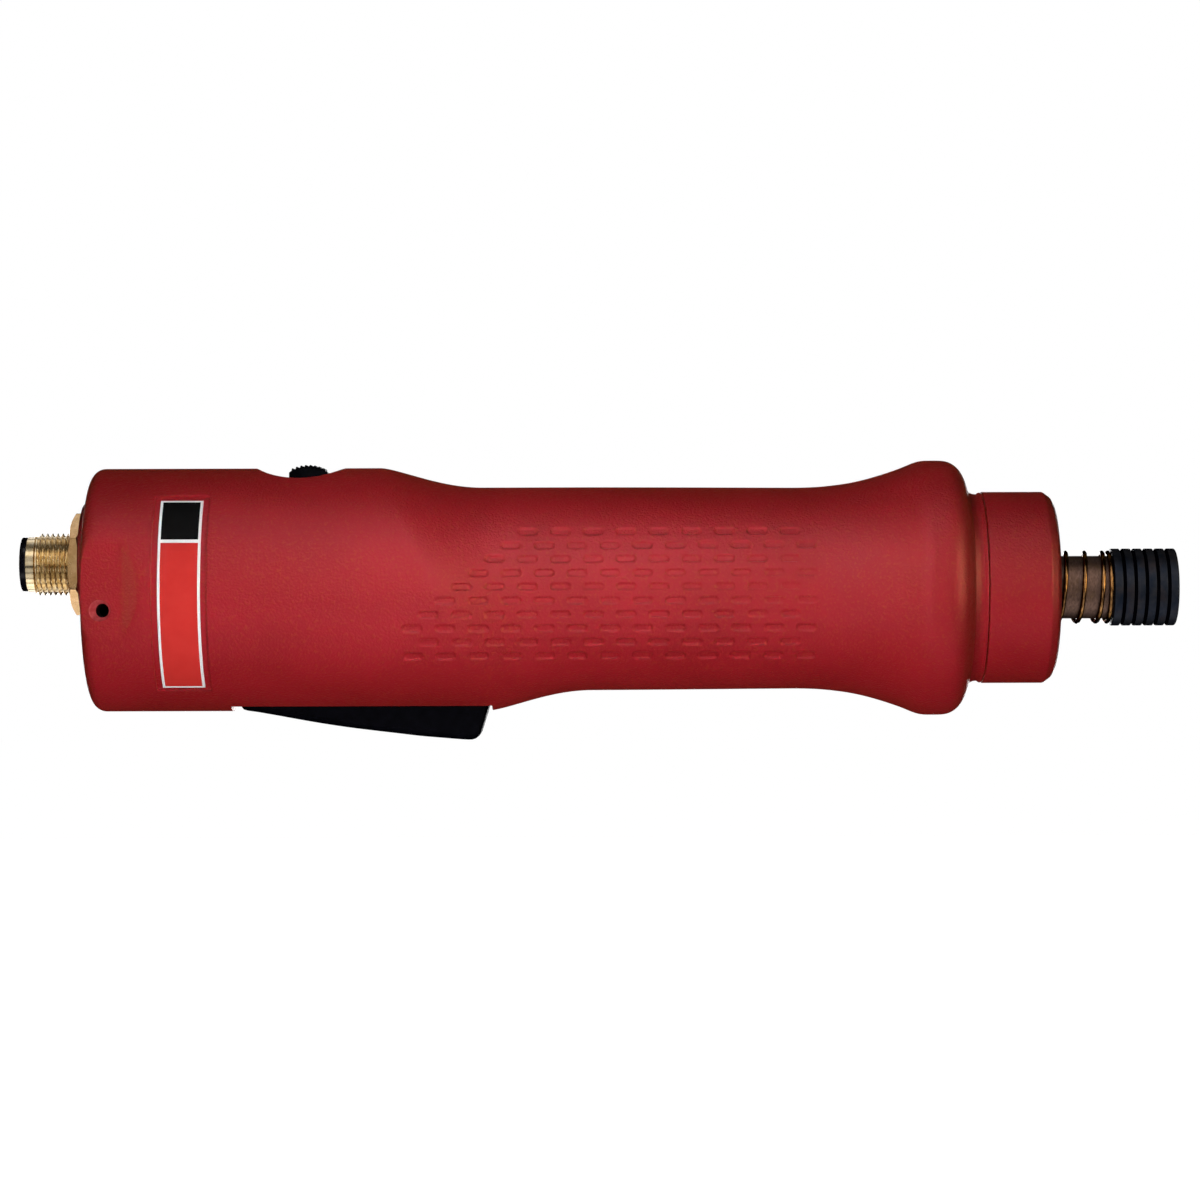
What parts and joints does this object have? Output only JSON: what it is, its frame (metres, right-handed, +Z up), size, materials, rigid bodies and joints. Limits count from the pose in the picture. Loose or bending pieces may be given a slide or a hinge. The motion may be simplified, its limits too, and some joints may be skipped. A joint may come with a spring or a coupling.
{
  "type": "electric torque screwdriver",
  "caption": "Straight lever-start electric torque screwdriver with a two-shell grip, planetary gear motor, torque clutch, quick-change hex bit chuck and round rear connector.",
  "frame": {"origin": "centre of the bit socket's mouth, on the spindle axis at the chuck's front face", "axes": "+X along the spindle out of the chuck, +Z up towards the reversing slide, start lever on the -Z side"},
  "size_m": [0.2213, 0.0488, 0.0533],
  "materials": {
    "red_shell": "fine matte satin moulded shell, deep red",
    "red_nose": "satin red turned nose ring",
    "black_plastic": "satin black moulding",
    "label_red": "orange red printed plate with white edge",
    "nickel_brass": "machined nickel brass, warm",
    "gold_contact": "gold plated contacts",
    "insert_black": "glossy black contact carrier",
    "seal_rubber": "black nitrile",
    "wire_red": "insulated hook-up wire",
    "wire_blue": "insulated motor leads",
    "board_green": "soldermask green",
    "chip_black": "moulded component bodies",
    "switch_body": "black switch mouldings",
    "switch_red": "red plunger",
    "slider_white": "natural acetal slider",
    "bright_steel": "ground bright steel",
    "lamination": "laminated core",
    "copper_wire": "enamelled copper winding",
    "motor_black": "black coated motor parts",
    "magnet_dark": "dark coated magnet ring",
    "gear_steel": "hardened gear steel",
    "planet_sinter": "sintered steel planets",
    "clutch_dark": "hardened dark clutch steel",
    "spring_steel": "spring wire",
    "spring_bronze": "bronze toned spring wire",
    "spindle_steel": "warm grey brown ground steel",
    "sleeve_dark": "burnished near black steel sleeve"
  },
  "bodies": {
    "housing": {"housing_left": "red_shell", "housing_right": "red_shell", "housing_screws": "bright_steel", "nose_cap": "red_nose", "label_plate": "label_red", "connector_shell": "nickel_brass", "connector_nut": "nickel_brass", "connector_insert": "insert_black", "connector_pins": "gold_contact", "connector_seal": "seal_rubber", "power_wires": "wire_red", "control_board": "board_green", "board_components": "chip_black", "start_switch": "switch_body", "reverse_switch": "switch_body", "lever_pin": "bright_steel", "lever_spring": "spring_steel", "motor_case": "bright_steel", "motor_end_cap": "motor_black", "stator_core": "lamination", "stator_windings": "copper_wire", "motor_leads": "wire_blue", "hall_board": "board_green", "motor_rear_bearing": "bright_steel", "motor_front_bearing": "bright_steel", "gear_case": "gear_steel", "output_bearing": "bright_steel", "spindle_bearing": "bright_steel", "clutch_sensor": "board_green"},
    "lever": {"lever": "black_plastic"},
    "switch_plunger": {"switch_plunger": "switch_red"},
    "reverse_slide": {"reverse_knob": "black_plastic", "reverse_slider": "slider_white"},
    "rotor": {"rotor_shaft": "bright_steel", "rotor_magnet": "magnet_dark", "motor_pinion": "gear_steel"},
    "first_carrier": {"first_carrier": "gear_steel", "first_planet_pins": "bright_steel"},
    "first_planet_a": {"first_planet_a": "planet_sinter"},
    "first_planet_b": {"first_planet_b": "planet_sinter"},
    "first_planet_c": {"first_planet_c": "planet_sinter"},
    "spindle": {"output_carrier": "gear_steel", "second_planet_pins": "bright_steel", "clutch_cam": "clutch_dark", "clutch_balls": "bright_steel", "clutch_cup": "clutch_dark", "torque_spring": "spring_steel", "spindle": "spindle_steel", "spring_collar": "clutch_dark", "chuck_spring": "spring_bronze", "chuck_balls": "bright_steel", "sleeve_ring": "clutch_dark"},
    "second_planet_a": {"second_planet_a": "planet_sinter"},
    "second_planet_b": {"second_planet_b": "planet_sinter"},
    "second_planet_c": {"second_planet_c": "planet_sinter"},
    "spring_seat": {"spring_seat": "bright_steel"},
    "adjusting_nut": {"adjusting_nut": "nickel_brass"},
    "chuck_sleeve": {"chuck_sleeve": "sleeve_dark"}
  },
  "joints": [
    {"name": "spindle_spin", "type": "hinge", "parent": "housing", "child": "spindle", "pos_m": [0, 0, 0], "axis": [1, 0, 0], "continuous": true},
    {"name": "sleeve_slide", "type": "slide", "parent": "spindle", "child": "chuck_sleeve", "axis": [-1, 0, 0], "range_m": [0, 0.003], "stiffness_N_per_m": 700, "springref_m": -0.004, "deforming": ["chuck_spring"]},
    {"name": "carrier_spin", "type": "hinge", "parent": "housing", "child": "first_carrier", "pos_m": [-0.08, 0, 0], "axis": [1, 0, 0], "continuous": true},
    {"name": "rotor_spin", "type": "hinge", "parent": "housing", "child": "rotor", "pos_m": [-0.1085, 0, 0], "axis": [1, 0, 0], "continuous": true},
    {"name": "lever_press", "type": "hinge", "parent": "housing", "child": "lever", "pos_m": [-0.177, 0, -0.0193], "axis": [0, -1, 0], "range_deg": [0, 5.5], "stiffness_Nm_per_rad": 1.2, "springref_deg": -8.59, "deforming": ["lever_spring"]},
    {"name": "plunger_press", "type": "slide", "parent": "housing", "child": "switch_plunger", "axis": [0, 0, 1], "range_m": [0, 0.0017]},
    {"name": "reverse_travel", "type": "slide", "parent": "housing", "child": "reverse_slide", "axis": [-1, 0, 0], "range_m": [0, 0.0025]},
    {"name": "adjuster_slide", "type": "slide", "parent": "spindle", "child": "spring_seat", "axis": [-1, 0, 0], "range_m": [0, 0.001], "deforming": ["torque_spring"]},
    {"name": "adjuster_turn", "type": "hinge", "parent": "spring_seat", "child": "adjusting_nut", "pos_m": [-0.04, 0, 0], "axis": [-1, 0, 0], "range_deg": [0, 360]},
    {"name": "first_planet_a_spin", "type": "hinge", "parent": "first_carrier", "child": "first_planet_a", "pos_m": [-0.084, 0, 0.0075], "axis": [1, 0, 0], "continuous": true},
    {"name": "first_planet_b_spin", "type": "hinge", "parent": "first_carrier", "child": "first_planet_b", "pos_m": [-0.084, -0.0065, -0.00375], "axis": [1, 0, 0], "continuous": true},
    {"name": "first_planet_c_spin", "type": "hinge", "parent": "first_carrier", "child": "first_planet_c", "pos_m": [-0.084, 0.0065, -0.00375], "axis": [1, 0, 0], "continuous": true},
    {"name": "second_planet_a_spin", "type": "hinge", "parent": "spindle", "child": "second_planet_a", "pos_m": [-0.0765, 0, 0.0075], "axis": [1, 0, 0], "continuous": true},
    {"name": "second_planet_b_spin", "type": "hinge", "parent": "spindle", "child": "second_planet_b", "pos_m": [-0.0765, -0.0065, -0.00375], "axis": [1, 0, 0], "continuous": true},
    {"name": "second_planet_c_spin", "type": "hinge", "parent": "spindle", "child": "second_planet_c", "pos_m": [-0.0765, 0.0065, -0.00375], "axis": [1, 0, 0], "continuous": true}
  ],
  "couplings": [
    {"joint": "carrier_spin", "follows": "spindle_spin", "ratio": 5},
    {"joint": "rotor_spin", "follows": "spindle_spin", "ratio": 25},
    {"joint": "plunger_press", "follows": "lever_press", "m_per_rad": 0.01667},
    {"joint": "adjuster_turn", "follows": "adjuster_slide", "rad_per_m": 6283.2},
    {"joint": "first_planet_a_spin", "follows": "spindle_spin", "ratio": -13.333},
    {"joint": "first_planet_b_spin", "follows": "spindle_spin", "ratio": -13.333},
    {"joint": "first_planet_c_spin", "follows": "spindle_spin", "ratio": -13.333},
    {"joint": "second_planet_a_spin", "follows": "spindle_spin", "ratio": -2.6667},
    {"joint": "second_planet_b_spin", "follows": "spindle_spin", "ratio": -2.6667},
    {"joint": "second_planet_c_spin", "follows": "spindle_spin", "ratio": -2.6667}
  ]
}
